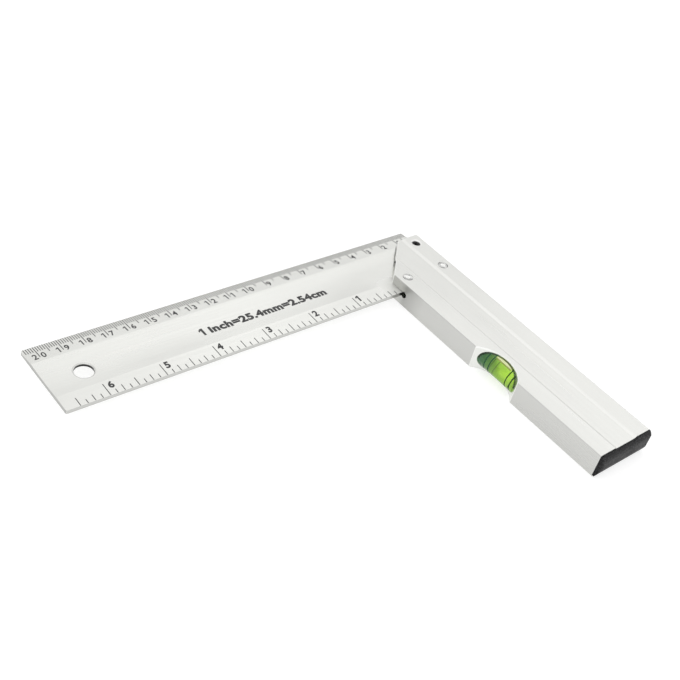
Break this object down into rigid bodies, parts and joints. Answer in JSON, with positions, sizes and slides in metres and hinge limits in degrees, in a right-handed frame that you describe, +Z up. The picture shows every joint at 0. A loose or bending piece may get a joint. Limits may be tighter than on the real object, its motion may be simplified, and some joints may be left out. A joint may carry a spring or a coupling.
{
  "type": "carpenter square",
  "caption": "Small aluminium try and mitre square: a thin ruled blade riveted across a hollow stock with a rounded back, a mitred end, a level vial in a round notch and a plastic end cap.",
  "frame": {"origin": "Under the middle of the whole square, on the plane that the stock's lower broad face rests on.", "axes": "+X runs along the blade away from the stock, +Y runs along the stock away from the blade, and +Z is up through the stock's thickness. The square lies flat on its stock."},
  "size_m": [0.2052, 0.1622, 0.012],
  "materials": {
    "blade_aluminium": "satin anodised, brushed along its length",
    "stock_aluminium": "satin anodised extrusion",
    "rivet_aluminium": "bright, pressed flush",
    "screw_steel": "black oxide",
    "cap_plastic": "fine-grained black",
    "vial_acrylic": "clear, polished",
    "level_liquid": "clear yellow-green liquid"
  },
  "bodies": {
    "root": {"blade": "blade_aluminium", "stock": "stock_aluminium", "end_cap": "cap_plastic", "rivet_back": "rivet_aluminium", "rivet_face": "rivet_aluminium", "lock_screw": "screw_steel", "vial_tube": "vial_acrylic", "vial_plug": "vial_acrylic", "vial_liquid": "level_liquid"}
  },
  "joints": []
}
